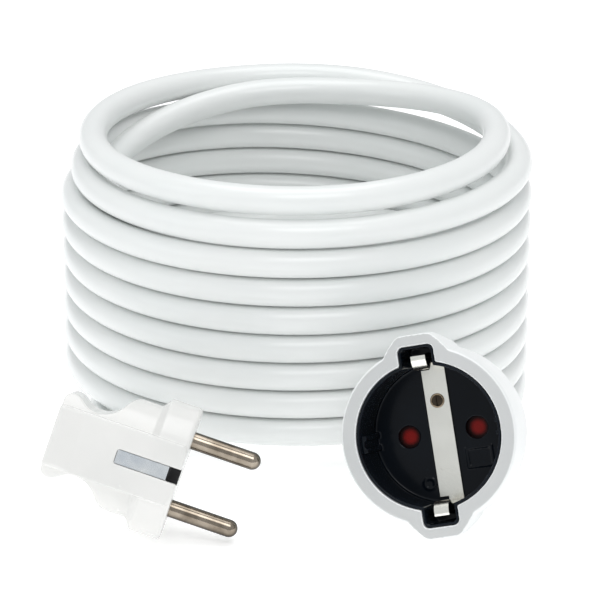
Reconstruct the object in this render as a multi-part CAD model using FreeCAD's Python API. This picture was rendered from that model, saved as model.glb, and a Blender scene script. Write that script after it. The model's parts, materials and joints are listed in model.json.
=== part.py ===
import FreeCAD, Part
import math
import os
from FreeCAD import Matrix, Vector

# A coiled three-core extension cord with an earthed side-entry plug and an earthed coupler socket.
# The frame's origin is the bottom centre of the whole object: +X right, +Y to the back, +Z up. Sizes in mm.

# Cable
CABLE_R = 4.05            # sheath outside radius
SHEATH_BORE_R = 3.32
CORE_R = 1.45             # insulated core
CORE_BORE_R = 0.80
WIRE_R = 0.69             # 1.5 mm2 copper conductor
CORE_LAY_R = 1.76         # distance of each core from the cable's centre
PLUG_CORE_ANGLES = {"brown": 90.0, "earth": 210.0, "blue": 330.0}
SOCKET_CORE_ANGLES = {"earth": 90.0, "blue": 210.0, "brown": 330.0}

# Coil, measured from the coil's vertical axis
COIL_AXIS = Vector(0.0, 27.3, 0.0)
ROWS = 9                  # rows of the outer layer
ROW_PITCH = 8.3
ROW_R = 64.5
LOWEST_ROW_Z = 12.65      # one cable thickness up, because both leads pass underneath
GROUND_Z = 4.25           # centre height of cable lying on the ground
INNER_R = 56.0
LAST_TURN = 11.5          # turns from the bottom of the inner layer to the end of the outer layer
POINTS_PER_TURN = 24

# Bending points of the two leads, and the free gap left there
KNUCKLE_R = 3.8
KNUCKLE_GAP_R = 4.05
LEAD_START = 3.0
CORE_START = 5.2
PLUG_HINGE = COIL_AXIS + Vector(-55.7, -64.0, 10.15)
SOCKET_HINGE = COIL_AXIS + Vector(56.6, -36.0, 4.25)

# Plug: local x runs forward along the pins, y towards the cable entry, z from pin to pin
PLUG_FRONT = COIL_AXIS + Vector(-30.6, -105.3, 17.45)
PLUG_X = Vector(0.9455, -0.114, -0.305)
PLUG_Y = Vector(0.0, 0.937, -0.35)
FLANGE_R = 18.35
FLANGE_THICK = 8.5
SHOULDER_R = 15.6
PLUG_LENGTH = 35.4
SLAB_HALF_Y = 17.2        # the two flat sides that carry the earth slots
SLAB_HALF_Z = 8.3
SLAB_FLARE_Y = 18.5
PLUG_WALL = 1.8
PIN_R = 2.4
PIN_SHANK_R = 2.6         # where the pin sits in the insert
PIN_LENGTH = 19.0
PIN_SPACING = 19.0
EARTH_SLOT_HALF = 2.0
EARTH_SLOT_LENGTH = 17.6
ENTRY_X = -26.0           # the cable's axis where it enters the plug
SHEATH_END_Y = 9.2
CLAMP_SCREW_Y = 10.4
CLAMP_SCREW_Z = 5.5

# Socket: local x runs from pin hole to pin hole, y from ear to ear, z outwards along the axis
SOCKET_RIM = COIL_AXIS + Vector(34.9, -105.6, 28.6)
SOCKET_AXIS = Vector(-0.272, -0.909, 0.316)
SOCKET_ROLL = 14.5
HOUSING_R = 23.9
HOUSING_REAR_R = 21.9
STRAIGHT_LENGTH = 14.0    # the housing tapers and the ears end behind this depth
FRONT_SHELL_LENGTH = 24.0
RECESS_R = 18.9
RECESS_DEPTH = 17.5
INSERT_R = 19.7
FLOOR_THICK = 1.7
PIN_HOLE_R = 3.0
EAR_REACH = 27.3
EAR_HALF = 6.35
POCKET_REACH = 23.5
POCKET_HALF = 4.15
POCKET_LIP = 0.65          # insert wall round each ear pocket
STRAP_HALF = 3.25
FIXING_SCREW_Y = 8.7
SHUTTER_BLADE_R = 3.4
CARRIER_TOP = -20.95
REAR_SHELL_END = -47.0
BUSHING_END = -52.0
SOCKET_SHEATH_END = -40.5


# ---------------------------------------------------------------- small helpers

def save(name, shape):
    shape.exportStep("parts/" + name + ".step")


def box(x0, x1, y0, y1, z0, z1):
    return Part.makeBox(x1 - x0, y1 - y0, z1 - z0, Vector(x0, y0, z0))


def rod(radius, start, end):
    start = Vector(*start)
    end = Vector(*end)
    return Part.makeCylinder(radius, start.distanceToPoint(end), start, end - start)


def ring(outer, inner, start, end):
    return rod(outer, start, end).cut(rod(inner, start, end))


def fuse(first, *others):
    return first.multiFuse(list(others)).removeSplitter()


def local_frame(origin, x_axis, y_axis):
    x = Vector(x_axis).normalize()
    z = x.cross(y_axis).normalize()
    y = z.cross(x)
    return Matrix(x.x, y.x, z.x, origin.x,
                  x.y, y.y, z.y, origin.y,
                  x.z, y.z, z.z, origin.z,
                  0, 0, 0, 1)


def placed(shape, frame):
    moved = shape.copy()
    moved.transformShape(frame)
    return moved


def prism(points, direction):
    """A straight prism over a closed polygon."""
    outline = [Vector(*p) for p in points]
    return Part.Face(Part.makePolygon(outline + [outline[0]])).extrude(Vector(*direction))


def smoothstep(s):
    return s * s * (3.0 - 2.0 * s)


# ---------------------------------------------------------------- cable centreline

def coil_stations():
    """(turn, radius, height) of the cable. Turns count from the left, clockwise seen from above."""
    top_row = LOWEST_ROW_Z + ROW_PITCH * (ROWS - 1)
    stations = [
        (0.0, INNER_R, GROUND_Z),
        (1.25, INNER_R, 34.0),
        (2.0, INNER_R + 0.2, top_row - 13.0),
        (2.25, INNER_R + 1.0, top_row - 4.0),
        (2.5, 58.0, top_row + 0.8),
        (2.75, 61.0, top_row + 0.3),
        (3.0, 59.0, top_row + 0.3),
        (3.25, ROW_R + 0.9, top_row - 1.9),
        (3.5, ROW_R, top_row - 7.2),
        (3.75, ROW_R - 0.7, top_row - ROW_PITCH),
        (4.0, ROW_R - 3.0, top_row - ROW_PITCH),
    ]
    for row in range(3, ROWS + 1):
        height = top_row - ROW_PITCH * (row - 1)
        stations.append((row + 1.5, ROW_R, height))
        stations.append((row + 2.0, ROW_R, height))
    stations.append((LAST_TURN, ROW_R - 0.4, GROUND_Z + 0.1))
    return stations


def coil_point(turn, stations):
    for (t0, r0, z0), (t1, r1, z1) in zip(stations, stations[1:]):
        if turn <= t1:
            break
    s = smoothstep((turn - t0) / (t1 - t0))
    radius = r0 + (r1 - r0) * s
    angle = math.pi - 2.0 * math.pi * turn
    return COIL_AXIS + Vector(radius * math.cos(angle), radius * math.sin(angle), z0 + (z1 - z0) * s)


def cable_points(plug_frame, socket_frame):
    """The whole cable from inside the plug to inside the socket, as points along its centre."""
    plug_end = [plug_frame.multiply(Vector(ENTRY_X, y, 0)) for y in (SHEATH_END_Y, 14.0, 20.0, 24.0)]
    plug_lead = [
        Vector(-55.4, -72.0, 13.7),
        PLUG_HINGE - COIL_AXIS,
        Vector(-55.9, -57.0, 7.6),
        Vector(-56.0, -50.0, 5.4),
        Vector(-56.0, -42.0, 4.2),
        Vector(-56.0, -34.0, GROUND_Z),
        Vector(-56.0, -17.0, GROUND_Z),
    ]
    stations = coil_stations()
    count = int(LAST_TURN * POINTS_PER_TURN)
    coil = [coil_point(LAST_TURN * i / count, stations) for i in range(count + 1)]
    socket_lead = [
        Vector(62.9, -14.0, GROUND_Z),
        Vector(60.3, -26.0, GROUND_Z),
        SOCKET_HINGE - COIL_AXIS,
        Vector(54.2, -42.0, 4.8),
        Vector(52.2, -47.3, 6.5),
    ]
    socket_end = [socket_frame.multiply(Vector(0, 0, z)) for z in (-54.0, -50.0, -46.0, SOCKET_SHEATH_END)]
    return (plug_end + [COIL_AXIS + p for p in plug_lead] + coil
            + [COIL_AXIS + p for p in socket_lead] + socket_end)


def curve_through(points):
    curve = Part.BSplineCurve()
    curve.interpolate(points)
    return curve


def arc_edge(start, heading, end):
    """The circular arc that leaves start along heading and ends at end."""
    chord = Vector(end - start).normalize()
    across = heading - chord * heading.dot(chord)
    half = start.distanceToPoint(end) / 2.0
    if across.Length * half < 1e-4:
        return Part.makeLine(start, end)
    bend = math.acos(min(1.0, heading.dot(chord)))
    middle = (start + end) * 0.5 + across.normalize() * (half * math.tan(bend / 2.0))
    return Part.Arc(start, middle, end).toShape()


def two_arcs(p0, t0, p1, t1):
    """Two arcs that meet smoothly and join two points with given headings."""
    gap = p1 - p0
    quadratic = 2.0 * (t0.dot(t1) - 1.0)
    linear = -2.0 * gap.dot(t0 + t1)
    constant = gap.dot(gap)
    if abs(quadratic) < 1e-9:
        reach = -constant / linear
    else:
        root = math.sqrt(linear * linear - 4.0 * quadratic * constant)
        roots = ((-linear + root) / (2 * quadratic), (-linear - root) / (2 * quadratic))
        reach = min(x for x in roots if x > 0)
    middle = (p0 + t0 * reach + p1 - t1 * reach) * 0.5
    return [arc_edge(p0, t0, middle), arc_edge(p1, t1 * -1.0, middle)]


def arc_wire(curve, start, end, span):
    """A curve made into smoothly joined circular arcs."""
    count = max(1, round(curve.length(start, end) / span))
    marks = [start + (end - start) * i / count for i in range(count + 1)]
    stops = [(curve.value(at), Vector(curve.tangent(at)[0])) for at in marks]
    edges = []
    for (p0, t0), (p1, t1) in zip(stops, stops[1:]):
        edges.extend(two_arcs(p0, t0, p1, t1))
    return Part.Wire(Part.__sortEdges__(edges))


def disc(radius, centre, axis):
    return Part.Face(Part.Wire(Part.makeCircle(radius, centre, axis)))


def tube(curve, start, end, outer, inner=None, span=30.0):
    """A round rod or hose along part of a curve."""
    start, end = sorted((start, end))
    centre = curve.value(start)
    tangent = curve.tangent(start)[0]
    section = disc(outer, centre, tangent)
    if inner:
        section = section.cut(disc(inner, centre, tangent)).Faces[0]
    return arc_wire(curve, start, end, span).makePipe(section)


def core_points(curve, start, end, angle, step):
    """Points of one core, which keeps its place in the cable's section."""
    count = max(3, round(curve.length(start, end) / step))
    turn = math.radians(angle)
    points = []
    for i in range(count + 1):
        at = start + (end - start) * i / count
        tangent = Vector(curve.tangent(at)[0])
        side = Vector(0, 0, 1).cross(tangent).normalize()
        up = tangent.cross(side)
        offset = side * math.cos(turn) + up * math.sin(turn)
        points.append(curve.value(at) + offset * CORE_LAY_R)
    return points


def placed_runs(runs, frame):
    return {colour: [frame.multiply(Vector(*p)) for p in points] for colour, points in runs.items()}


def whole_tube(points, outer, inner=None):
    curve = curve_through(points)
    span = min(30.0, curve.length() / len(points))
    return tube(curve, curve.FirstParameter, curve.LastParameter, outer, inner, span)


def along(curve, start, distance):
    return curve.parameterAtDistance(distance, start)


# ---------------------------------------------------------------- cable solids

def save_cores(prefix, runs, wire_runs):
    for colour, points in runs.items():
        save(prefix + "_core_" + colour, whole_tube(points, CORE_R, CORE_BORE_R))
    save(prefix + "_conductors", Part.makeCompound([whole_tube(p, WIRE_R) for p in wire_runs.values()]))


def build_coil(curve, plug_hinge, socket_hinge):
    """The wound length, solid, because nothing of its cores can be seen or reached."""
    cable = tube(curve, plug_hinge, socket_hinge, CABLE_R)
    ends = [Part.makeSphere(KNUCKLE_R, curve.value(at)) for at in (plug_hinge, socket_hinge)]
    save("coil_cable", cable.multiFuse(ends))


def build_lead(prefix, curve, hinge, sheath_end, direction, angles, inner_runs, wire_tips):
    """A lead from its bending point into a plug or socket, where the cores fan out to the terminals."""
    start = along(curve, hinge, direction * LEAD_START)
    sheath = tube(curve, start, sheath_end, CABLE_R, SHEATH_BORE_R, span=6.0)
    sheath = sheath.cut(Part.makeSphere(KNUCKLE_GAP_R, curve.value(hinge)))
    save(prefix + "_sheath", sheath)
    core_start = along(curve, hinge, direction * CORE_START)
    core_end = along(curve, sheath_end, -direction * 0.5)
    runs = {}
    wires = {}
    for colour, angle in angles.items():
        runs[colour] = core_points(curve, core_start, core_end, angle, step=3.0) + inner_runs[colour]
        wires[colour] = runs[colour] + wire_tips[colour]
    save_cores(prefix, runs, wires)


# ---------------------------------------------------------------- plug

def grip_outline(inset):
    """The body's side profile: round shoulders, a waist for the fingers and a flared rear end."""
    crest = [(-15.5, 15.6), (-18.6, 14.2), (-20.4, 11.6), (-23.0, 9.5), (-26.0, 8.8),
             (-29.0, 9.5), (-31.8, 11.3), (-33.8, 11.5), (-PLUG_LENGTH, 10.0)]
    top = [Vector(max(x, -PLUG_LENGTH + inset), 0, z - inset) for x, z in crest]
    if inset:
        top = top[:-2] + [Vector(-PLUG_LENGTH + inset, 0, 10.0 - inset)]
    bottom = [Vector(p.x, 0, -p.z) for p in reversed(top)]
    front_top = Vector(-4.0, 0, top[0].z)
    front_bottom = Vector(-4.0, 0, -top[0].z)
    edges = [
        Part.makeLine(front_top, top[0]),
        curve_through(top).toShape(),
        Part.makeLine(top[-1], bottom[0]),
        curve_through(bottom).toShape(),
        Part.makeLine(bottom[-1], front_bottom),
        Part.makeLine(front_bottom, front_top),
    ]
    return Part.Face(Part.Wire(edges))


def grip_body(inset, half_depth):
    blank = grip_outline(inset)
    blank.translate(Vector(0, -half_depth, 0))
    blank = blank.extrude(Vector(0, 2 * half_depth, 0))
    return blank.common(rod(SHOULDER_R - inset, (-PLUG_LENGTH, 0, 0), (0, 0, 0)))


def plug_slab():
    sides = [(-1.0, SLAB_HALF_Y), (-28.5, SLAB_HALF_Y), (-PLUG_LENGTH, SLAB_FLARE_Y)]
    outline = [(x, y, -SLAB_HALF_Z) for x, y in sides] + [(x, -y, -SLAB_HALF_Z) for x, y in reversed(sides)]
    slab = prism(outline, (0, 0, 2 * SLAB_HALF_Z))
    rear = [e for e in slab.Edges if e.BoundBox.XMax < -28.0 and e.BoundBox.ZLength < 0.1 or
            e.BoundBox.XMax < -35.0]
    return slab.makeFillet(1.0, rear)


def plug_shell():
    flange = rod(FLANGE_R, (-FLANGE_THICK, 0, 0), (0, 0, 0))
    flange = flange.makeChamfer(0.6, [e for e in flange.Edges if e.BoundBox.XMin > -0.1])
    step = Part.makeCone(SHOULDER_R, FLANGE_R, 1.9, Vector(-FLANGE_THICK - 1.9, 0, 0), Vector(1, 0, 0))
    front = fuse(flange, step).common(box(-30, 1, -SLAB_HALF_Y, SLAB_HALF_Y, -20, 20))
    nozzle = Part.makeCone(6.6, 5.4, 7.0, Vector(ENTRY_X, 16.0, 0), Vector(0, 1, 0))
    body = fuse(front, grip_body(0.0, 17.0), plug_slab(), nozzle)
    inside = fuse(
        grip_body(PLUG_WALL, 13.4),
        box(-PLUG_LENGTH + PLUG_WALL, -4.0, -14.2, 14.2, -6.3, 6.3),
    )
    body = body.cut(inside)
    body = body.cut(rod(16.0, (-4.05, 0, 0), (1, 0, 0)))
    body = body.cut(rod(CABLE_R + 0.15, (ENTRY_X, 12.0, 0), (ENTRY_X, 25.0, 0)))
    for side in (-1, 1):
        slot = sorted((side * 15.2, side * 20.0))
        opening = sorted((side * 13.0, side * 15.3))
        body = body.cut(box(-EARTH_SLOT_LENGTH, 1, slot[0], slot[1], -EARTH_SLOT_HALF, EARTH_SLOT_HALF))
        body = body.cut(box(-17.65, -16.35, opening[0], opening[1], -EARTH_SLOT_HALF, EARTH_SLOT_HALF))
    ledge = box(-21.8, -19.8, 8.9, 14.6, -7.0, 7.0)
    for z in (-CLAMP_SCREW_Z, CLAMP_SCREW_Z):
        ledge = ledge.cut(rod(1.1, (-23, CLAMP_SCREW_Y, z), (-19, CLAMP_SCREW_Y, z)))
    return fuse(body, ledge)


def plug_insert():
    plate = rod(15.85, (-4.0, 0, 0), (0, 0, 0))
    plate = plate.makeChamfer(0.4, [e for e in plate.Edges if e.BoundBox.XMin > -0.1])
    bosses = [rod(3.9, (-8.0, 0, s * PIN_SPACING / 2), (-3.9, 0, s * PIN_SPACING / 2)) for s in (-1, 1)]
    body = fuse(plate, rod(3.6, (-12.0, 0, 0), (-3.9, 0, 0)), *bosses)
    for s in (-1, 1):
        body = body.cut(rod(PIN_SHANK_R + 0.1, (-9, 0, s * PIN_SPACING / 2), (1, 0, s * PIN_SPACING / 2)))
        slot = sorted((s * 15.2, s * 17.0))
        slot_mouth = sorted((s * 12.6, s * 17.0))
        body = body.cut(box(-5, 1, *slot, -EARTH_SLOT_HALF, EARTH_SLOT_HALF))
        body = body.cut(box(-3.1, 1, *slot_mouth, -EARTH_SLOT_HALF, EARTH_SLOT_HALF))
    body = body.cut(rod(1.6, (-13, 0, 0), (1, 0, 0)))
    return body.cut(rod(2.9, (-3.3, 0, 0), (1, 0, 0)))


def plug_pin(side):
    z = side * PIN_SPACING / 2
    tip = PIN_LENGTH - PIN_R
    pin = fuse(
        rod(PIN_SHANK_R, (-8.2, 0, z), (0, 0, z)),
        rod(PIN_R, (-0.1, 0, z), (tip, 0, z)),
        Part.makeSphere(PIN_R, Vector(tip, 0, z)),
        rod(2.9, (-15.0, 0, z), (-8.1, 0, z)),
    )
    pin = pin.cut(rod(1.1, (-15.5, 0, z), (-9.5, 0, z)))
    return pin.cut(rod(1.35, (-12.0, -4.0, z), (-12.0, 0, z)))


def slotted_screw(shank_r, head_r, head_height, start, end):
    """A cheese-head screw from the top of its head to its tip."""
    start = Vector(*start)
    end = Vector(*end)
    axis = (end - start).normalize()
    head = Part.makeCylinder(head_r, head_height, start, axis)
    shank = Part.makeCylinder(shank_r, start.distanceToPoint(end), start, axis)
    across = axis.cross(Vector(0, 0, 1)) if abs(axis.z) < 0.9 else axis.cross(Vector(1, 0, 0))
    across.normalize()
    slot = Part.makeBox(2.4 * head_r, 0.6, 0.8)
    slot.translate(Vector(-1.2 * head_r, -0.3, -0.4))
    slot.transformShape(local_frame(start + axis * 0.1, across, axis.cross(across)))
    return fuse(head, shank).cut(slot)


def plug_earth_strap():
    bar = box(-17.5, -16.5, -16.3, 16.3, -1.85, 1.85)
    arms = [box(-17.5, -3.3, *sorted((s * 15.3, s * 16.3)), -1.85, 1.85) for s in (-1, 1)]
    strap = fuse(bar, rod(3.0, (-17.0, 0, 0), (-13.2, 0, 0)), *arms)
    strap = strap.cut(rod(1.6, (-18, 0, 0), (-13, 0, 0)))
    return strap.cut(rod(1.35, (-18, -6.5, 0), (-16, -6.5, 0)))


def plug_cord_clamp():
    bar = box(-31.2, -27.2, 9.0, 11.9, -6.8, 6.8)
    bar = bar.cut(rod(CABLE_R + 0.15, (ENTRY_X, 8, 0), (ENTRY_X, 14, 0)))
    for z in (-CLAMP_SCREW_Z, CLAMP_SCREW_Z):
        bar = bar.cut(rod(1.05, (-32, CLAMP_SCREW_Y, z), (-27, CLAMP_SCREW_Y, z)))
    return bar


def build_plug(frame):
    pin_screws = []
    clamp_screws = []
    for s in (-1, 1):
        z = s * PIN_SPACING / 2
        pin_screws.append(slotted_screw(1.2, 2.0, 1.4, (-12.0, -5.6, z), (-12.0, -0.95, z)))
        z = s * CLAMP_SCREW_Z
        clamp_screws.append(slotted_screw(0.95, 1.2, 1.2, (-32.5, CLAMP_SCREW_Y, z), (-20.2, CLAMP_SCREW_Y, z)))
    pieces = {
        "plug_shell": plug_shell(),
        "plug_insert": plug_insert(),
        "plug_pin_live": plug_pin(1),
        "plug_pin_neutral": plug_pin(-1),
        "plug_earth_strap": plug_earth_strap(),
        "plug_pin_screws": Part.makeCompound(pin_screws),
        "plug_earth_screw": slotted_screw(1.2, 2.4, 1.5, (-19.3, -6.5, 0), (-13.5, -6.5, 0)),
        "plug_centre_screw": slotted_screw(1.45, 2.7, 2.1, (-1.0, 0, 0), (-16.8, 0, 0)),
        "plug_cord_clamp": plug_cord_clamp(),
        "plug_clamp_screws": Part.makeCompound(clamp_screws),
    }
    for name, shape in pieces.items():
        save(name, placed(shape, frame))


def plug_core_runs(frame):
    """Where each core runs inside the plug, and where its bare end goes."""
    inner = {
        "brown": [(-25.6, 6.4, 2.6), (-24.2, 3.8, 4.2), (-22.0, 1.6, 6.0), (-19.0, 0.3, 8.6), (-15.4, 0, 9.5)],
        "blue": [(-26.6, 6.4, -2.5), (-24.6, 3.8, -4.2), (-22.0, 1.6, -6.0), (-19.0, 0.3, -8.6), (-15.4, 0, -9.5)],
        "earth": [(-24.2, 6.2, -0.4), (-24.3, 1.0, 0), (-24.2, -3.4, 0), (-22.2, -6.2, 0)],
    }
    tips = {
        "brown": [(-13.0, 0, 9.5), (-10.5, 0, 9.5)],
        "blue": [(-13.0, 0, -9.5), (-10.5, 0, -9.5)],
        "earth": [(-20.9, -6.5, 0), (-19.6, -6.5, 0)],
    }
    return placed_runs(inner, frame), placed_runs(tips, frame)


# ---------------------------------------------------------------- socket

def ear_block(half, reach, z0, z1, corner):
    block = box(-half, half, -reach, reach, z0, z1)
    return block.makeFillet(corner, [e for e in block.Edges if e.BoundBox.ZLength > 1.0])


def socket_front_shell():
    ears = ear_block(EAR_HALF, EAR_REACH, -STRAIGHT_LENGTH, 0, 3.0)
    flanks = []
    for side in (-1, 1):
        outline = [(-9.6, side * 20.5, 0), (9.6, side * 20.5, 0), (8.6, side * 22.8, 0), (6.3, side * 25.6, 0),
                   (-6.3, side * 25.6, 0), (-8.6, side * 22.8, 0)]
        flanks.append(prism(outline, (0, 0, -STRAIGHT_LENGTH)))
    ears = fuse(ears, *flanks).cut(ear_tips())
    barrel = revolved([(0, 0), (HOUSING_R - 0.5, 0), (HOUSING_R, -0.5), (HOUSING_R, -STRAIGHT_LENGTH),
                       (HOUSING_REAR_R, -FRONT_SHELL_LENGTH), (0, -FRONT_SHELL_LENGTH)])
    body = fuse(barrel, ears)
    body = body.cut(rod(INSERT_R + 0.15, (0, 0, -FRONT_SHELL_LENGTH - 1), (0, 0, 1)))
    gap = 0.15
    half = POCKET_HALF + POCKET_LIP + gap
    body = body.cut(ear_block(half, POCKET_REACH + POCKET_LIP + gap, -12.5, 1.0, 1.6))
    return body.cut(ear_block(half, 22.2 + gap, -19.4, 1.0, 1.6))


def ear_tips():
    """What is cut off the ears, so that they slope in to the housing towards the back."""
    tips = []
    for side in (-1, 1):
        outline = [(-12, side * 28.5, -3.0), (-12, side * 28.0, -3.0), (-12, side * 24.0, -STRAIGHT_LENGTH - 0.1),
                   (-12, side * 28.5, -STRAIGHT_LENGTH - 0.1)]
        tips.append(prism(outline, (24, 0, 0)))
    return Part.makeCompound(tips)


def recess_marks():
    """A raised ring and a plain raised panel on the recess floor, and a guide rib at each side."""
    floor = -RECESS_DEPTH
    mark = ring(1.7, 1.2, (-5.7, -13.3, floor - 0.1), (-5.7, -13.3, floor + 0.25))
    panel = box(5.5, 12.9, -10.7, -5.0, floor - 0.1, floor + 0.25)
    panel = panel.cut(box(6.1, 12.3, -10.1, -5.6, floor, floor + 1))
    ribs = []
    for s in (-1, 1):
        rib = box(*sorted((s * 17.6, s * 19.1)), -2.4, 2.4, floor - 0.1, -3.0)
        groove = box(*sorted((s * 17.3, s * 18.3)), -1.0, 1.0, floor, -2.0)
        ribs.append(rib.cut(groove))
    return [mark, panel] + ribs


def socket_insert():
    body = fuse(
        rod(INSERT_R, (0, 0, -20.8), (0, 0, -0.3)),
        ear_block(POCKET_HALF + POCKET_LIP, POCKET_REACH + POCKET_LIP, -12.3, -0.3, 1.5),
        ear_block(POCKET_HALF + POCKET_LIP, 22.2, -RECESS_DEPTH - FLOOR_THICK, -0.3, 1.5),
    )
    body = body.cut(rod(RECESS_R, (0, 0, -RECESS_DEPTH), (0, 0, 1)))
    body = body.cut(ear_block(POCKET_HALF, POCKET_REACH, -11.6, 1.0, 1.2))
    body = body.cut(ear_block(POCKET_HALF, 21.5, -RECESS_DEPTH, 1.0, 1.2))
    body = body.cut(rod(INSERT_R - 1.1, (0, 0, -22), (0, 0, -RECESS_DEPTH - FLOOR_THICK)))
    body = fuse(body, *recess_marks())
    for side in (-1, 1):
        x = side * PIN_SPACING / 2
        body = body.cut(rod(PIN_HOLE_R, (x, 0, -20), (x, 0, -RECESS_DEPTH + 1)))
    return body.cut(rod(1.75, (0, FIXING_SCREW_Y, -20), (0, FIXING_SCREW_Y, -RECESS_DEPTH + 1)))


def socket_shutter():
    top = -RECESS_DEPTH - FLOOR_THICK - 0.15
    bottom = CARRIER_TOP + 0.15
    blades = [rod(SHUTTER_BLADE_R, (x, 0, bottom), (x, 0, top)) for x in (-9.5, 9.5)]
    arm = box(-9.5, 9.5, -2.2, 2.2, bottom, top)
    body = fuse(rod(3.4, (0, 0, bottom), (0, 0, top)), arm, *blades)
    return body.cut(rod(1.65, (0, 0, bottom - 1), (0, 0, top + 1)))


def socket_carrier():
    body = fuse(
        rod(INSERT_R - 1.4, (0, 0, -28.0), (0, 0, CARRIER_TOP)),
        rod(1.5, (0, 0, CARRIER_TOP - 0.1), (0, 0, -19.6)),
    )
    body = body.cut(ring(4.1, 2.1, (0, 0, -23.8), (0, 0, CARRIER_TOP)))
    for x in (-9.5, 9.5):
        body = body.cut(rod(3.45, (x, 0, -29), (x, 0, -20)))
    return body.cut(rod(1.75, (0, FIXING_SCREW_Y, -29), (0, FIXING_SCREW_Y, -20)))


def shutter_spring():
    """A small torsion spring in the groove below the shutter."""
    turns = [i / 12.0 for i in range(31)]
    points = []
    for t in turns:
        angle = 2 * math.pi * t
        points.append(Vector(3.1 * math.cos(angle), 3.1 * math.sin(angle), -23.2 + 0.8 * t))
    return whole_tube(points, 0.3)


def socket_contact(side):
    x = side * PIN_SPACING / 2
    block = box(min(side * 1.6, side * 7.0), max(side * 1.6, side * 7.0), -2.4, 2.4, -33.4, -28.4)
    body = fuse(rod(3.2, (x, 0, -37.2), (x, 0, -21.3)), block)
    body = body.cut(rod(2.45, (x, 0, -38), (x, 0, -21)))
    body = body.cut(box(x - 0.35, x + 0.35, -4, 4, -27.5, -21))
    body = body.cut(rod(1.1, (side * 4.0, 0, -34), (side * 4.0, 0, -29.6)))
    return body.cut(rod(1.15, (side * 4.0, 0.5, -31.0), (side * 4.0, 3.0, -31.0)))


def socket_earth_block():
    block = box(-2.8, 2.8, 6.2, 11.2, -33.4, -28.3)
    block = block.cut(rod(1.55, (0, FIXING_SCREW_Y, -30.8), (0, FIXING_SCREW_Y, -28)))
    return block.cut(rod(1.1, (0, FIXING_SCREW_Y, -34), (0, FIXING_SCREW_Y, -31.2)))


def socket_earth_strap():
    low = -RECESS_DEPTH + 0.1
    high = low + 0.7
    strap = box(-STRAP_HALF, STRAP_HALF, -17.2, 17.2, low, high)
    tails = [box(-0.85, STRAP_HALF, *sorted((s * 17.1, s * 19.0)), low, high) for s in (-1, 1)]
    tabs = [box(-0.85, STRAP_HALF, *sorted((s * 18.4, s * 19.1)), low, -12.6) for s in (-1, 1)]
    strap = fuse(strap, *tails, *tabs)
    strap = strap.cut(rod(1.6, (0, FIXING_SCREW_Y, low - 1), (0, FIXING_SCREW_Y, high + 1)))
    return strap.cut(box(-1.9, 1.9, -9.9, -9.5, high - 0.25, high + 1))


def earth_clip(side):
    """A curled spring leaf in an ear pocket, with its nose turned towards the plug."""
    profile = [(20.4, -16.9), (20.7, -13.4), (20.6, -10.0), (18.8, -7.0), (17.9, -5.1), (18.8, -3.3),
               (21.4, -2.6)]
    path = curve_through([Vector(0, side * y, z) for y, z in profile])
    start = path.value(path.FirstParameter)
    tangent = Vector(path.tangent(path.FirstParameter)[0])
    across = Vector(1, 0, 0)
    out = tangent.cross(across).normalize()
    corners = [start + across * (2.0 * a) + out * (0.3 * b) for a, b in ((-1, -1), (1, -1), (1, 1), (-1, 1))]
    section = Part.Face(Part.makePolygon(corners + [corners[0]]))
    return Part.Wire(path.toShape()).makePipe(section)


def revolved(profile):
    """A solid of revolution about z over (radius, height) corners."""
    outline = [Vector(r, 0, z) for r, z in profile]
    face = Part.Face(Part.makePolygon(outline + [outline[0]]))
    return face.revolve(Vector(0, 0, 0), Vector(0, 0, 1), 360)


def socket_rear_shell():
    start = -FRONT_SHELL_LENGTH - 0.1
    spigot_bore = INSERT_R - 1.2
    outer = [(0, -21.1), (INSERT_R, -21.1), (INSERT_R, start), (HOUSING_REAR_R, start), (21.2, -26.5),
             (15.6, -37.4), (12.6, -42.6), (10.4, -45.6), (8.4, REAR_SHELL_END), (0, REAR_SHELL_END)]
    inner = [(0, -21.0), (spigot_bore, -21.0), (spigot_bore, -28.3), (13.7, -37.0), (10.8, -42.0), (8.4, -44.6),
             (6.8, -45.2), (0, -45.2)]
    body = revolved(outer).cut(revolved(inner))
    body = body.cut(rod(5.2, (0, 0, -48), (0, 0, -44)))
    lugs = [box(min(s * 4.4, s * 8.6), max(s * 4.4, s * 8.6), -9.6, -0.2, -43.2, -41.0) for s in (-1, 1)]
    keep = revolved([(0, -36.0), (13.9, -36.0), (13.9, -37.0), (11.2, -42.0), (9.0, -44.6), (0, -44.6)])
    body = fuse(body, *[lug.common(keep) for lug in lugs])
    for x in (-5.5, 5.5):
        body = body.cut(rod(0.95, (x, -5, -42.1), (x, 1, -42.1)))
    return body


def socket_cord_clamp():
    bar = box(-6.5, 6.5, 4.25, 6.2, -43.2, -41.0)
    cheeks = [box(min(s * 4.4, s * 6.5), max(s * 4.4, s * 6.5), 0.2, 4.3, -43.2, -41.0) for s in (-1, 1)]
    bar = fuse(bar, *cheeks)
    for x in (-5.5, 5.5):
        bar = bar.cut(rod(0.95, (x, 0, -42.1), (x, 7, -42.1)))
    return bar


def socket_bushing():
    return revolved([(4.2, -44.9), (5.05, -44.9), (5.05, -47.15), (5.9, -47.15), (5.0, BUSHING_END),
                     (4.2, BUSHING_END)])


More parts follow.
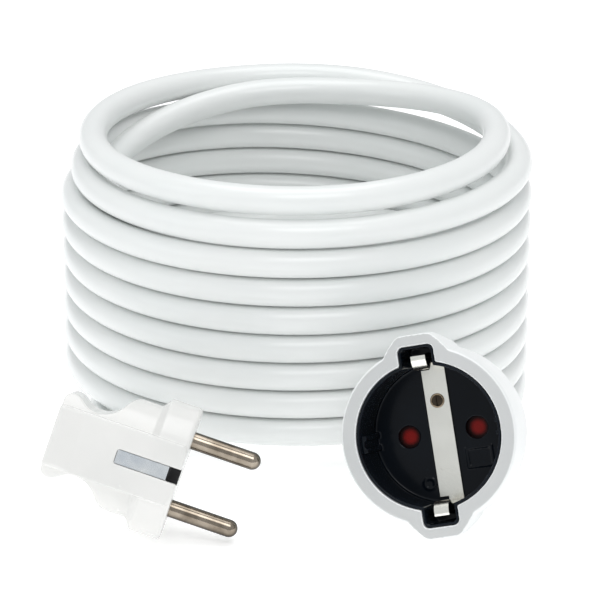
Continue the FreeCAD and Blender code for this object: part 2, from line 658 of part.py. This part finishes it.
def build_socket(frame):
    contact_screws = [slotted_screw(1.0, 1.6, 1.3, (s * 4.0, 4.4, -31.0), (s * 4.0, 0.9, -31.0)) for s in (-1, 1)]
    clamp_screws = [slotted_screw(0.8, 1.2, 0.9, (x, 7.2, -42.1), (x, -4.0, -42.1)) for x in (-5.5, 5.5)]
    fixing = slotted_screw(1.4, 1.5, 1.0, (0, FIXING_SCREW_Y, -16.5), (0, FIXING_SCREW_Y, -30.6))
    pieces = {
        "socket_front_shell": socket_front_shell(),
        "socket_rear_shell": socket_rear_shell(),
        "socket_insert": socket_insert(),
        "socket_carrier": socket_carrier(),
        "socket_shutter": socket_shutter(),
        "socket_shutter_spring": shutter_spring(),
        "socket_contact_live": socket_contact(1),
        "socket_contact_neutral": socket_contact(-1),
        "socket_contact_screws": Part.makeCompound(contact_screws),
        "socket_earth_block": socket_earth_block(),
        "socket_earth_strap": socket_earth_strap(),
        "socket_fixing_screw": fixing,
        "socket_clip_upper": earth_clip(1),
        "socket_clip_lower": earth_clip(-1),
        "socket_cord_clamp": socket_cord_clamp(),
        "socket_clamp_screws": Part.makeCompound(clamp_screws),
        "socket_bushing": socket_bushing(),
    }
    for name, shape in pieces.items():
        save(name, placed(shape, frame))


def socket_core_runs(frame):
    inner = {
        "brown": [(1.6, -0.88, -39.7), (2.5, -0.6, -38.0), (3.7, -0.1, -35.8), (4.0, 0, -33.7)],
        "blue": [(-1.6, -0.88, -39.7), (-2.5, -0.6, -38.0), (-3.7, -0.1, -35.8), (-4.0, 0, -33.7)],
        "earth": [(0, 1.9, -39.7), (0, 4.6, -37.6), (0, 7.4, -36.0), (0, 8.7, -33.9)],
    }
    tips = {
        "brown": [(4.0, 0, -32.4), (4.0, 0, -30.2)],
        "blue": [(-4.0, 0, -32.4), (-4.0, 0, -30.2)],
        "earth": [(0, 8.7, -32.8), (0, 8.7, -31.6)],
    }
    return placed_runs(inner, frame), placed_runs(tips, frame)


def socket_local_frame():
    axis = Vector(SOCKET_AXIS).normalize()
    up = Vector(0, 0, 1) - axis * axis.z
    up.normalize()
    right = up.cross(axis)
    roll = math.radians(SOCKET_ROLL)
    x_axis = right * math.cos(roll) + up * math.sin(roll)
    return local_frame(SOCKET_RIM, x_axis, axis.cross(x_axis))


# ---------------------------------------------------------------- build

os.makedirs("parts", exist_ok=True)

plug_frame = local_frame(PLUG_FRONT, PLUG_X, PLUG_Y)
socket_frame = socket_local_frame()
cable = curve_through(cable_points(plug_frame, socket_frame))
plug_bend = cable.parameter(PLUG_HINGE)
socket_bend = cable.parameter(SOCKET_HINGE)

build_coil(cable, plug_bend, socket_bend)
plug_runs = plug_core_runs(plug_frame)
socket_runs = socket_core_runs(socket_frame)
build_lead("plug_lead", cable, plug_bend, cable.FirstParameter, -1, PLUG_CORE_ANGLES, *plug_runs)
rolled_angles = {colour: angle + SOCKET_ROLL for colour, angle in SOCKET_CORE_ANGLES.items()}
build_lead("socket_lead", cable, socket_bend, cable.LastParameter, 1, rolled_angles, *socket_runs)
build_plug(plug_frame)
build_socket(socket_frame)
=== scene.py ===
import json
import math

import bmesh
import bpy
import numpy as np
from mathutils import Matrix, Vector


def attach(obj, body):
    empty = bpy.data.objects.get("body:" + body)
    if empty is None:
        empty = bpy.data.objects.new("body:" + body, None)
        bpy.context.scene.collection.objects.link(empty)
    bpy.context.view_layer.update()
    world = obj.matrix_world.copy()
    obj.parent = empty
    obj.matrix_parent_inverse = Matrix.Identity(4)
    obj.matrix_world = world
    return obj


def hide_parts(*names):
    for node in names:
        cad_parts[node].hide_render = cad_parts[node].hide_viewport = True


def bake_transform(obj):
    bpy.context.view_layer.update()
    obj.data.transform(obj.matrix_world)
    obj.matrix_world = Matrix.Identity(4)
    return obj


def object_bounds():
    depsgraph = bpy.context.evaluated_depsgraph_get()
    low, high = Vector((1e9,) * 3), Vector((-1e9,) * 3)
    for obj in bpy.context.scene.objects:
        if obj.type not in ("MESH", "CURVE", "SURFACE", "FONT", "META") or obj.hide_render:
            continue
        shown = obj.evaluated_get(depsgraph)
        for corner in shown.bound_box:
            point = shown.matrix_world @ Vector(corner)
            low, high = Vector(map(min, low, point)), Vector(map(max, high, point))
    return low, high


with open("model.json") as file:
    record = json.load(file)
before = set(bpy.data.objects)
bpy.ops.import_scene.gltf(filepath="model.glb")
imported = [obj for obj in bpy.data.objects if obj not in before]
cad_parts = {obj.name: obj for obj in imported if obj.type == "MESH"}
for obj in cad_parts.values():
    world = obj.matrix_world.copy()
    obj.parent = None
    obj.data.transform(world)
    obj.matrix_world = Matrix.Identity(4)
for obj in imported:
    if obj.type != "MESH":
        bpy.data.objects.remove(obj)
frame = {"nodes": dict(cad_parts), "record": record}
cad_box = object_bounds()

MM = 0.001
NODES = frame["nodes"]

# Cable, in mm from the coil's vertical axis
COIL_AXIS = np.array([0.0, 27.3, 0.0])
CABLE_R = 4.05
ROWS = 9
ROW_PITCH = 8.3
ROW_R = 64.5
LOWEST_ROW_Z = 12.65
GROUND_Z = 4.25
INNER_R = 56.0
LAST_TURN = 11.5
PLUG_HINGE = np.array([-55.7, -64.0, 10.15])
SOCKET_HINGE = np.array([56.6, -36.0, 4.25])
PLUG_CUT = (-56.0, -17.0, GROUND_Z)
SOCKET_CUT = (62.9, -14.0, GROUND_Z)

# The leads' centrelines between plug or socket and coil, in mm from the coil's vertical axis
PLUG_LEAD = (
    (-55.4, -72.0, 13.7), PLUG_HINGE, (-55.9, -57.0, 7.6), (-56.0, -50.0, 5.4), (-56.0, -42.0, 4.2),
    (-56.0, -34.0, GROUND_Z), PLUG_CUT,
)
SOCKET_LEAD = (SOCKET_CUT, (60.3, -26.0, GROUND_Z), SOCKET_HINGE, (54.2, -42.0, 4.8), (52.2, -47.3, 6.5))

# Where each lead starts and stops bending, on the coil's side and on the plug's or socket's side
PLUG_BEND = ((-56.0, -53.0, 10.0), (-55.5, -75.0, 10.0))
SOCKET_BEND = ((59.5, -28.0, 4.2), (53.7, -44.0, 4.2))

# The cable's run inside the plug's nozzle and the socket's bushing, in their own frames
NOZZLE_X = -26.0
NOZZLE_RUN = (9.4, 14.0, 20.0, 24.0)
BUSHING_RUN = (-54.0, -50.0, -46.0, -40.7)

# The cable's mesh: rings this far apart in mm, points round each ring, and the cores' faint swell
RING_STEP = 2.0
AROUND = 28
CORE_SWELL = 0.006
CORE_LAY_M = 0.085

# Plug and socket frames, the same as the CAD's
PLUG_FRONT = COIL_AXIS + np.array([-30.6, -105.3, 17.45])
PLUG_X = np.array([0.9455, -0.114, -0.305])
PLUG_Y = np.array([0.0, 0.937, -0.35])
SOCKET_RIM = COIL_AXIS + np.array([34.9, -105.6, 28.6])
SOCKET_AXIS = np.array([-0.272, -0.909, 0.316])
SOCKET_ROLL = 14.5

# The open ends of the plug's two earth slots, where shade is painted, in the plug's frame
MOUTH_DEPTH = (-3.5, -0.05)
MOUTH_REACH = (12.0, 15.4)
MOUTH_HALF = 2.3

# The rolled rim round the earth strap's screw, in the socket's frame
RIM_PLACE = (0.0, 8.7, -16.66)
RIM_MAJOR_R = 1.72
RIM_MINOR_R = 0.26

# Light, in metres and watts: name, place, size, power and colour
LIGHTS = (
    ("key", (0.10, -0.55, 0.75), (0.5, 0.35), 1.7, (1, 1, 1)),
    ("left_fill", (-0.9, -0.4, 0.45), (0.6, 0.6), 0.9, (0.95, 0.98, 1.0)),
    ("top", (0.0, 0.15, 1.0), (0.7, 0.7), 3.4, (1, 1, 1)),
)
LIGHTS_AIM = (0.0, 0.0, 0.04)
SKY_COLOUR = (0.97, 0.985, 1.0, 1)
SKY_STRENGTH = 0.62
FLOOR_HALF = 6.0
FLOOR_GAP = 0.0003
FLOOR_GLOW = 0.36

# Camera
AIM = Vector((1.0, 27.3, 27.7)) * MM
CAMERA_DISTANCE = 0.961
CAMERA_ELEVATION = 20.5
LENS_MM = 194.9


# ---------------------------------------------------------------- frames and paths

def unit(v):
    return v / np.linalg.norm(v)


def local_axes(x_axis, y_axis):
    x = unit(x_axis)
    z = unit(np.cross(x, y_axis))
    return np.array([x, np.cross(z, x), z])


def socket_axes():
    axis = unit(SOCKET_AXIS)
    up = unit(np.array([0, 0, 1.0]) - axis * axis[2])
    right = np.cross(up, axis)
    roll = math.radians(SOCKET_ROLL)
    x_axis = right * math.cos(roll) + up * math.sin(roll)
    return local_axes(x_axis, np.cross(axis, x_axis))


PLUG_AXES = local_axes(PLUG_X, PLUG_Y)
SOCKET_AXES = socket_axes()


def plug_point(x, y, z):
    return PLUG_FRONT + np.array([x, y, z]) @ PLUG_AXES


def socket_point(x, y, z):
    return SOCKET_RIM + np.array([x, y, z]) @ SOCKET_AXES


def smoothstep(s):
    return s * s * (3.0 - 2.0 * s)


def coil_stations():
    """(turn, radius, height) of the cable, clockwise from the left of the inner layer's bottom."""
    top_row = LOWEST_ROW_Z + ROW_PITCH * (ROWS - 1)
    stations = [
        (0.0, INNER_R, GROUND_Z),
        (1.25, INNER_R, 34.0),
        (2.0, INNER_R + 0.2, top_row - 13.0),
        (2.25, INNER_R + 1.0, top_row - 4.0),
        (2.5, 58.0, top_row + 0.8),
        (2.75, 61.0, top_row + 0.3),
        (3.0, 59.0, top_row + 0.3),
        (3.25, ROW_R + 0.9, top_row - 1.9),
        (3.5, ROW_R, top_row - 7.2),
        (3.75, ROW_R - 0.7, top_row - ROW_PITCH),
        (4.0, ROW_R - 3.0, top_row - ROW_PITCH),
    ]
    for row in range(3, ROWS + 1):
        height = top_row - ROW_PITCH * (row - 1)
        stations.append((row + 1.5, ROW_R, height))
        stations.append((row + 2.0, ROW_R, height))
    stations.append((LAST_TURN, ROW_R - 0.4, GROUND_Z + 0.1))
    return stations


def coil_point(turn, stations):
    for (t0, r0, z0), (t1, r1, z1) in zip(stations, stations[1:]):
        if turn <= t1:
            break
    s = smoothstep((turn - t0) / (t1 - t0))
    radius = r0 + (r1 - r0) * s
    angle = math.pi - 2.0 * math.pi * turn
    height = z0 + (z1 - z0) * s
    return COIL_AXIS + np.array([radius * math.cos(angle), radius * math.sin(angle), height])


def smooth_path(points, step):
    """A centripetal Catmull-Rom curve through points, sampled about every step mm."""
    pts = [np.array(p, float) for p in points]
    pts = [2 * pts[0] - pts[1]] + pts + [2 * pts[-1] - pts[-2]]
    out = []
    for p0, p1, p2, p3 in zip(pts, pts[1:], pts[2:], pts[3:]):
        t1 = np.linalg.norm(p1 - p0) ** 0.5
        t2 = t1 + np.linalg.norm(p2 - p1) ** 0.5
        t3 = t2 + np.linalg.norm(p3 - p2) ** 0.5
        count = max(1, int(round(np.linalg.norm(p2 - p1) / step)))
        for t in np.linspace(t1, t2, count, endpoint=False):
            a1 = (t1 - t) / t1 * p0 + t / t1 * p1
            a2 = (t2 - t) / (t2 - t1) * p1 + (t - t1) / (t2 - t1) * p2
            a3 = (t3 - t) / (t3 - t2) * p2 + (t - t2) / (t3 - t2) * p3
            b1 = (t2 - t) / t2 * a1 + t / t2 * a2
            b2 = (t3 - t) / (t3 - t1) * a2 + (t - t1) / (t3 - t1) * a3
            out.append((t2 - t) / (t2 - t1) * b1 + (t - t1) / (t2 - t1) * b2)
    out.append(pts[-2])
    return np.array(out)


def coil_path(first, last, per_turn=24):
    stations = coil_stations()
    count = int(round((last - first) * per_turn))
    return [coil_point(first + (last - first) * i / count, stations) for i in range(count + 1)]


def from_coil_axis(points):
    return [COIL_AXIS + np.array(point) for point in points]


def cable_line():
    """The whole cable's centreline from the plug to the socket, and the two cuts' places along it."""
    plug_end = [plug_point(NOZZLE_X, y, 0) for y in NOZZLE_RUN]
    socket_end = [socket_point(0, 0, z) for z in BUSHING_RUN]
    coil_run = coil_path(0.0, LAST_TURN)
    points = plug_end + from_coil_axis(PLUG_LEAD) + coil_run + from_coil_axis(SOCKET_LEAD) + socket_end
    line = smooth_path(points, RING_STEP)
    cuts = []
    for cut in from_coil_axis((PLUG_CUT, SOCKET_CUT)):
        cuts.append(int(np.argmin(np.linalg.norm(line - cut, axis=1))))
    return line, cuts


# ---------------------------------------------------------------- mesh helpers

def new_object(name, mesh):
    obj = bpy.data.objects.new(name, mesh)
    bpy.context.scene.collection.objects.link(obj)
    return obj


def shade(obj, angle=35.0):
    obj.data.shade_smooth()
    obj.data.set_sharp_from_angle(angle=math.radians(angle))


def cable_piece(name, line, first, last):
    """Part of the cable as a closed tube, with the three cores faintly showing through the sheath."""
    path = line * MM
    tangent = np.gradient(path, axis=0)
    tangent /= np.linalg.norm(tangent, axis=1)[:, None]
    side = np.cross(np.array([0, 0, 1.0]), tangent)
    side /= np.linalg.norm(side, axis=1)[:, None]
    up = np.cross(tangent, side)
    run = np.concatenate([[0], np.cumsum(np.linalg.norm(np.diff(path, axis=0), axis=1))])
    turn = 2 * math.pi * np.arange(AROUND) / AROUND
    rings = []
    for i in range(first, last + 1):
        radius = CABLE_R * MM * (1.0 + CORE_SWELL * np.cos(3 * turn + 2 * math.pi * run[i] / CORE_LAY_M))
        across = np.outer(radius * np.cos(turn), side[i])
        along = np.outer(radius * np.sin(turn), up[i])
        rings.append(path[i] + across + along)
    count = len(rings)
    faces = [tuple(reversed(range(AROUND))), tuple(range((count - 1) * AROUND, count * AROUND))]
    for i in range(count - 1):
        for k in range(AROUND):
            a = i * AROUND + k
            b = i * AROUND + (k + 1) % AROUND
            faces.append((a, b, b + AROUND, a + AROUND))
    mesh = bpy.data.meshes.new(name)
    mesh.from_pydata(np.concatenate(rings).tolist(), [], faces)
    mesh.update()
    obj = new_object(name, mesh)
    shade(obj, 60.0)
    return obj


def copy_of(node, name):
    """A welded copy of a CAD node's mesh."""
    mesh = NODES[node].data.copy()
    mesh.materials.clear()
    obj = new_object(name, mesh)
    bm = bmesh.new()
    bm.from_mesh(mesh)
    bmesh.ops.remove_doubles(bm, verts=bm.verts, dist=1e-6)
    bm.to_mesh(mesh)
    bm.free()
    stored_normals = mesh.attributes.get("custom_normal")
    if stored_normals:
        mesh.attributes.remove(stored_normals)
    return obj


def applied(obj):
    """obj with its modifiers made part of its mesh."""
    graph = bpy.context.evaluated_depsgraph_get()
    mesh = bpy.data.meshes.new_from_object(obj.evaluated_get(graph))
    obj.modifiers.clear()
    obj.data = mesh
    return obj


def finish_piece(obj, body, slot, *nodes, material=None):
    """Gives obj its material and puts it on a body in place of its CAD nodes."""
    obj.data.materials.clear()
    obj.data.materials.append(MATERIALS[material or slot])
    if body:
        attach(obj, body)
    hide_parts(*nodes)


def moulded(node, name, body, slot, voxel_mm, rounds):
    """A CAD piece with its edges softened, as a moulded piece has them."""
    obj = copy_of(node, name)
    remesh = obj.modifiers.new("remesh", "REMESH")
    remesh.mode = "VOXEL"
    remesh.voxel_size = voxel_mm * MM
    soften = obj.modifiers.new("soften", "SMOOTH")
    soften.factor = 0.5
    soften.iterations = rounds
    applied(obj)
    obj.data.shade_smooth()
    finish_piece(obj, body, slot, node)
    return obj


def crisp(node, name, body, slot, material):
    """A CAD piece with its edges as they are, as turned, cut or pressed metal has them."""
    obj = copy_of(node, name)
    shade(obj, 30.0)
    finish_piece(obj, body, slot, node, material=material)
    return obj


# ---------------------------------------------------------------- materials

def nodes_of(name):
    material = bpy.data.materials.new(name)
    material.use_nodes = True
    tree = material.node_tree
    return material, tree, tree.nodes["Principled BSDF"]


def noise(tree, scale, detail=3.0, stretch=None):
    coords = tree.nodes.new("ShaderNodeTexCoord")
    texture = tree.nodes.new("ShaderNodeTexNoise")
    texture.inputs["Scale"].default_value = scale
    texture.inputs["Detail"].default_value = detail
    source = coords.outputs["Object"]
    if stretch:
        mapping = tree.nodes.new("ShaderNodeMapping")
        mapping.inputs["Scale"].default_value = stretch
        tree.links.new(source, mapping.inputs["Vector"])
        source = mapping.outputs["Vector"]
    tree.links.new(source, texture.inputs["Vector"])
    return texture.outputs["Fac"]


def ramp(tree, value, low, high, at=(0.3, 0.7)):
    node = tree.nodes.new("ShaderNodeValToRGB")
    node.color_ramp.elements[0].position = at[0]
    node.color_ramp.elements[1].position = at[1]
    node.color_ramp.elements[0].color = (*low, 1)
    node.color_ramp.elements[1].color = (*high, 1)
    tree.links.new(value, node.inputs["Fac"])
    return node.outputs["Color"]


def spread(tree, value, low, high):
    node = tree.nodes.new("ShaderNodeMapRange")
    node.inputs["To Min"].default_value = low
    node.inputs["To Max"].default_value = high
    tree.links.new(value, node.inputs["Value"])
    return node.outputs["Result"]


def multiply(tree, first, second, into):
    node = tree.nodes.new("ShaderNodeMix")
    node.data_type = "RGBA"
    node.blend_type = "MULTIPLY"
    node.inputs["Factor"].default_value = 1.0
    tree.links.new(first, node.inputs[6])
    tree.links.new(second, node.inputs[7])
    tree.links.new(node.outputs[2], into)


def bump(tree, shader, value, distance_mm, strength=1.0):
    node = tree.nodes.new("ShaderNodeBump")
    node.inputs["Strength"].default_value = strength
    node.inputs["Distance"].default_value = distance_mm * MM
    tree.links.new(value, node.inputs["Height"])
    tree.links.new(node.outputs["Normal"], shader.inputs["Normal"])


def plastic(name, low, high, rough, grain_mm=0.01, grain_scale=2600.0, coat=0.0, mottle=60.0, specular=0.5):
    """Moulded plastic: faint colour mottle, uneven gloss and a fine grain."""
    material, tree, shader = nodes_of(name)
    tree.links.new(ramp(tree, noise(tree, mottle), low, high), shader.inputs["Base Color"])
    tree.links.new(spread(tree, noise(tree, mottle * 5, 4.0), *rough), shader.inputs["Roughness"])
    shader.inputs["Specular IOR Level"].default_value = specular
    shader.inputs["Coat Weight"].default_value = coat
    shader.inputs["Coat Roughness"].default_value = 0.12
    bump(tree, shader, noise(tree, grain_scale, 2.0), grain_mm, 0.4)
    return material


def metal(name, low, high, rough, scratch=(40.0, 900.0, 900.0), mottle=220.0, edge=1.0):
    """Metal with fine drawn lines and uneven tarnish, and painted shade where it turns away from the
    camera, darker there by the share edge.
    """
    material, tree, shader = nodes_of(name)
    shader.inputs["Metallic"].default_value = 1.0
    # painted shade: the colour grows darker and warmer where the surface turns away from the camera
    facing = tree.nodes.new("ShaderNodeLayerWeight")
    facing.inputs["Blend"].default_value = 0.45
    warm_painted_shade = (edge, edge * 0.93, edge * 0.86)
    shade_off = ramp(tree, facing.outputs["Facing"], (1, 1, 1), warm_painted_shade, (0.15, 0.6))
    multiply(tree, ramp(tree, noise(tree, mottle, 5.0), low, high), shade_off, shader.inputs["Base Color"])
    tree.links.new(spread(tree, noise(tree, mottle * 2, 4.0), *rough), shader.inputs["Roughness"])
    bump(tree, shader, noise(tree, 1.0, 3.0, scratch), 0.01, 0.35)
    return material


def striped(name, base, stripe):
    """Core insulation in two colours, in broad bands."""
    material, tree, shader = nodes_of(name)
    bands = ramp(tree, noise(tree, 90.0, 0.0), base, stripe, (0.49, 0.51))
    tree.links.new(bands, shader.inputs["Base Color"])
    shader.inputs["Roughness"].default_value = 0.35
    return material


def shade_in_holes(material, reach_mm):
    """Darkens a surface seen at the bottom of a hole towards the hole's wall."""
    tree = material.node_tree
    shader = tree.nodes["Principled BSDF"]
    colour = shader.inputs["Base Color"].links[0].from_socket
    openness = tree.nodes.new("ShaderNodeAmbientOcclusion")
    openness.inputs["Distance"].default_value = reach_mm * MM
    tone = ramp(tree, openness.outputs["AO"], (0.02, 0.02, 0.02), (1, 1, 1), (0.58, 0.97))
    multiply(tree, colour, tone, shader.inputs["Base Color"])


def paint_shade_facing(material, axis, share):
    """Paints shade into the colour of the faces along axis, which come out darker by the share."""
    tree = material.node_tree
    shader = tree.nodes["Principled BSDF"]
    colour = shader.inputs["Base Color"].links[0].from_socket
    coords = tree.nodes.new("ShaderNodeTexCoord")
    along = tree.nodes.new("ShaderNodeVectorMath")
    along.operation = "DOT_PRODUCT"
    along.inputs[1].default_value = tuple(axis)
    tree.links.new(coords.outputs["Normal"], along.inputs[0])
    tone = ramp(tree, along.outputs["Value"], (1, 1, 1), (share, share, share), (0.85, 0.97))
    multiply(tree, colour, tone, shader.inputs["Base Color"])


def white_plastics():
    return {
        "cable_sheath": plastic(
            "cable_pvc", (0.79, 0.815, 0.805), (0.83, 0.845, 0.835), (0.26, 0.34),
            grain_mm=0.004, grain_scale=1400.0, coat=0.3, mottle=30.0),
        "plug_plastic": plastic(
            "plug_white", (0.755, 0.755, 0.735), (0.805, 0.80, 0.78), (0.20, 0.30),
            grain_mm=0.008, grain_scale=2400.0, coat=0.2),
        "socket_plastic": plastic(
            "socket_white", (0.82, 0.84, 0.84), (0.87, 0.885, 0.88), (0.30, 0.40),
            grain_mm=0.012, grain_scale=2200.0),
        "bushing_rubber": plastic(
            "bushing_rubber", (0.78, 0.80, 0.80), (0.83, 0.85, 0.85), (0.5, 0.65),
            grain_mm=0.03, grain_scale=1500.0),
    }


def dark_plastics():
    return {
        "insert_plastic": plastic(
            "insert_black", (0.002, 0.004, 0.007), (0.005, 0.008, 0.013), (0.10, 0.26),
            grain_mm=0.004, grain_scale=900.0, coat=0.15, specular=0.10),
        "carrier_plastic": plastic(
            "carrier_black", (0.02, 0.02, 0.025), (0.04, 0.04, 0.045), (0.45, 0.6),
            grain_mm=0.02, grain_scale=1200.0),
        "shutter_plastic": plastic(
            "shutter_red", (0.58, 0.015, 0.012), (0.70, 0.03, 0.025), (0.35, 0.5),
            grain_mm=0.01, grain_scale=2000.0, specular=0.15),
        # a dark colour painted as shade in the plug's earth slot mouths
        "slot_painted_shade": plastic("slot_painted_shade", (0.004, 0.004, 0.005), (0.010, 0.010, 0.012), (0.5, 0.7)),
    }


def core_insulation():
    return {
        "core_brown": plastic("core_brown", (0.16, 0.06, 0.02), (0.20, 0.08, 0.03), (0.3, 0.4)),
        "core_blue": plastic("core_blue", (0.01, 0.06, 0.35), (0.02, 0.08, 0.42), (0.3, 0.4)),
        "core_green_yellow": striped("core_green_yellow", (0.05, 0.32, 0.04), (0.80, 0.70, 0.03)),
    }


def metals():
    return {
        "copper": metal("copper_wire", (0.70, 0.30, 0.16), (0.85, 0.42, 0.26), (0.25, 0.4)),
        # edge: the share of painted shade where the metal turns away from the camera
        "nickel_pins": metal(
            "nickel_pins", (0.21, 0.175, 0.135), (0.42, 0.365, 0.30), (0.10, 0.20),
            scratch=(300.0, 60.0, 300.0), edge=0.08),
        "nickel_strip": metal(
            "nickel_strip", (0.88, 0.88, 0.82), (0.98, 0.98, 0.92), (0.18, 0.30), mottle=70.0, edge=0.5),
        "nickel_slot": metal(
            "nickel_slot", (0.72, 0.78, 0.85), (0.97, 1.0, 1.0), (0.16, 0.34), mottle=160.0, edge=0.6),
        "contact_brass": metal("contact_brass", (0.62, 0.42, 0.14), (0.75, 0.55, 0.22), (0.25, 0.4)),
        "rivet_bronze": metal("rivet_bronze", (0.34, 0.26, 0.17), (0.50, 0.40, 0.29), (0.2, 0.35)),
        "screw_steel": metal("screw_steel", (0.05, 0.04, 0.03), (0.11, 0.09, 0.07), (0.25, 0.4)),
    }


MATERIALS = {**white_plastics(), **dark_plastics(), **core_insulation(), **metals()}
# painted shade on the socket's faces that look along its axis
paint_shade_facing(MATERIALS["socket_plastic"], SOCKET_AXES[2], 0.66)
shade_in_holes(MATERIALS["shutter_plastic"], 4.0)

# every carried-over CAD piece gets its slot's material
slot_of = {part["node"]: part["material_slot"] for part in frame["record"]["subparts"]}
for node, obj in NODES.items():
    obj.data.materials.clear()
    obj.data.materials.append(MATERIALS[slot_of[node]])


# ---------------------------------------------------------------- cable

line, (plug_cut, socket_cut) = cable_line()
coil = cable_piece("cable_coil_sheath", line, plug_cut, socket_cut)
plug_lead = cable_piece("plug_lead_cable", line, 0, plug_cut)
socket_lead = cable_piece("socket_lead_cable", line, socket_cut, len(line) - 1)
finish_piece(coil, "cable_coil", "cable_sheath", "coil_cable")
finish_piece(plug_lead, None, "cable_sheath", "plug_lead_sheath")
finish_piece(socket_lead, None, "cable_sheath", "socket_lead_sheath")


# ---------------------------------------------------------------- plug and socket

# node, piece, body, slot, voxel size in mm and rounds of smoothing
MOULDED_PIECES = (
    ("plug_shell", "plug_grip", "plug", "plug_plastic", 0.30, 5),
    ("plug_insert", "plug_face", "plug", "plug_plastic", 0.25, 3),
    ("socket_front_shell", "socket_front", "socket", "socket_plastic", 0.35, 4),
    ("socket_rear_shell", "socket_back", "socket", "socket_plastic", 0.35, 5),
    ("socket_insert", "socket_recess", "socket", "insert_plastic", 0.22, 6),
    ("socket_bushing", "socket_cable_sleeve", "socket", "bushing_rubber", 0.25, 3),
)

# node, piece, body, slot and material
CRISP_PIECES = (
    ("plug_pin_live", "plug_pin_live_plated", "plug", "nickel_pins", "nickel_pins"),
    ("plug_pin_neutral", "plug_pin_neutral_plated", "plug", "nickel_pins", "nickel_pins"),
    ("plug_earth_strap", "plug_earth_strip", "plug", "nickel_strip", "nickel_slot"),
    ("socket_earth_strap", "socket_earth_strip", "socket", "nickel_strip", "nickel_strip"),
    ("socket_fixing_screw", "socket_strap_screw", "socket", "screw_steel", "screw_steel"),
    ("socket_shutter", "socket_red_shutter", "shutter", "shutter_plastic", "shutter_plastic"),
    ("socket_clip_upper", "socket_upper_clip", "clip_upper", "nickel_strip", "nickel_strip"),
    ("socket_clip_lower", "socket_lower_clip", "clip_lower", "nickel_strip", "nickel_strip"),
)


def paint_shade_in_slot_mouths(face):
    """Paints shade on the open end of each earth slot, over the insert's own white faces there."""
    face.data.materials.append(MATERIALS["slot_painted_shade"])
    for polygon in face.data.polygons:
        x, y, z = PLUG_AXES @ (np.array(polygon.center) / MM - PLUG_FRONT)
        in_mouth = MOUTH_DEPTH[0] < x < MOUTH_DEPTH[1] and MOUTH_REACH[0] < abs(y) < MOUTH_REACH[1]
        if in_mouth and abs(z) < MOUTH_HALF:
            polygon.material_index = 1


def rivet_rim():
    """The rolled bronze-coloured rim round the strap's screw."""
    bpy.ops.mesh.primitive_torus_add(
        major_radius=RIM_MAJOR_R * MM, minor_radius=RIM_MINOR_R * MM, major_segments=48, minor_segments=16)
    rim = bpy.context.object
    rim.name = "socket_strap_rivet_rim"
    axes = (Vector(axis) for axis in SOCKET_AXES)
    turn = Matrix(tuple(axes)).transposed().to_4x4()
    rim.matrix_world = Matrix.Translation(Vector(socket_point(*RIM_PLACE)) * MM) @ turn
    shade(rim, 60.0)
    rim.data.materials.append(MATERIALS["rivet_bronze"])
    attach(rim, "socket")


softened = {}
for node, *details in MOULDED_PIECES:
    softened[node] = moulded(node, *details)
for details in CRISP_PIECES:
    crisp(*details)
# painted shade in the open ends of the plug's earth slots
paint_shade_in_slot_mouths(softened["plug_insert"])
rivet_rim()


# ---------------------------------------------------------------- stage, light and camera

def backdrop_white():
    """A white floor that glows faintly, as a lit studio sweep does."""
    material, tree, shader = nodes_of("floor_white")
    mottled = ramp(tree, noise(tree, 3.0), (0.92, 0.92, 0.92), (0.94, 0.94, 0.94))
    tree.links.new(mottled, shader.inputs["Base Color"])
    shader.inputs["Roughness"].default_value = 0.85
    shader.inputs["Emission Color"].default_value = (1, 1, 1, 1)
    shader.inputs["Emission Strength"].default_value = FLOOR_GLOW
    return material


def floor_under(lowest_z):
    mesh = bpy.data.meshes.new("floor")
    corners = [(-1, -1), (1, -1), (1, 1), (-1, 1)]
    mesh.from_pydata([(x * FLOOR_HALF, y * FLOOR_HALF, 0) for x, y in corners], [], [(0, 1, 2, 3)])
    floor = new_object("floor", mesh)
    floor.location.z = lowest_z - FLOOR_GAP
    floor.data.materials.append(backdrop_white())


def area_light(name, place, size, power, colour):
    data = bpy.data.lights.new(name, "AREA")
    data.shape = "RECTANGLE"
    data.size, data.size_y = size
    data.energy = power
    data.color = colour
    light = bpy.data.objects.new(name, data)
    bpy.context.scene.collection.objects.link(light)
    light.location = place
    light.rotation_euler = (Vector(LIGHTS_AIM) - Vector(place)).to_track_quat("-Z", "Y").to_euler()


def white_sky():
    world = bpy.data.worlds.new("studio")
    world.use_nodes = True
    background = world.node_tree.nodes["Background"]
    background.inputs["Color"].default_value = SKY_COLOUR
    background.inputs["Strength"].default_value = SKY_STRENGTH
    bpy.context.scene.world = world


def main_camera():
    data = bpy.data.cameras.new("camera")
    data.lens = LENS_MM
    data.sensor_width = 36.0
    data.clip_end = 20.0
    camera = bpy.data.objects.new("camera", data)
    bpy.context.scene.collection.objects.link(camera)
    rise = math.radians(CAMERA_ELEVATION)
    camera.location = AIM + Vector((0, -math.cos(rise), math.sin(rise))) * CAMERA_DISTANCE
    camera.rotation_euler = (AIM - camera.location).to_track_quat("-Z", "Y").to_euler()
    bpy.context.scene.camera = camera


floor_under(cad_box[0][2])
white_sky()
for light in LIGHTS:
    area_light(*light)
main_camera()
bpy.context.scene.view_settings.view_transform = "Standard"


# ---------------------------------------------------------------- leads' placing baked into their meshes

for lead, body, bend in ((plug_lead, "plug", PLUG_BEND), (socket_lead, "socket", SOCKET_BEND)):
    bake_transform(lead)
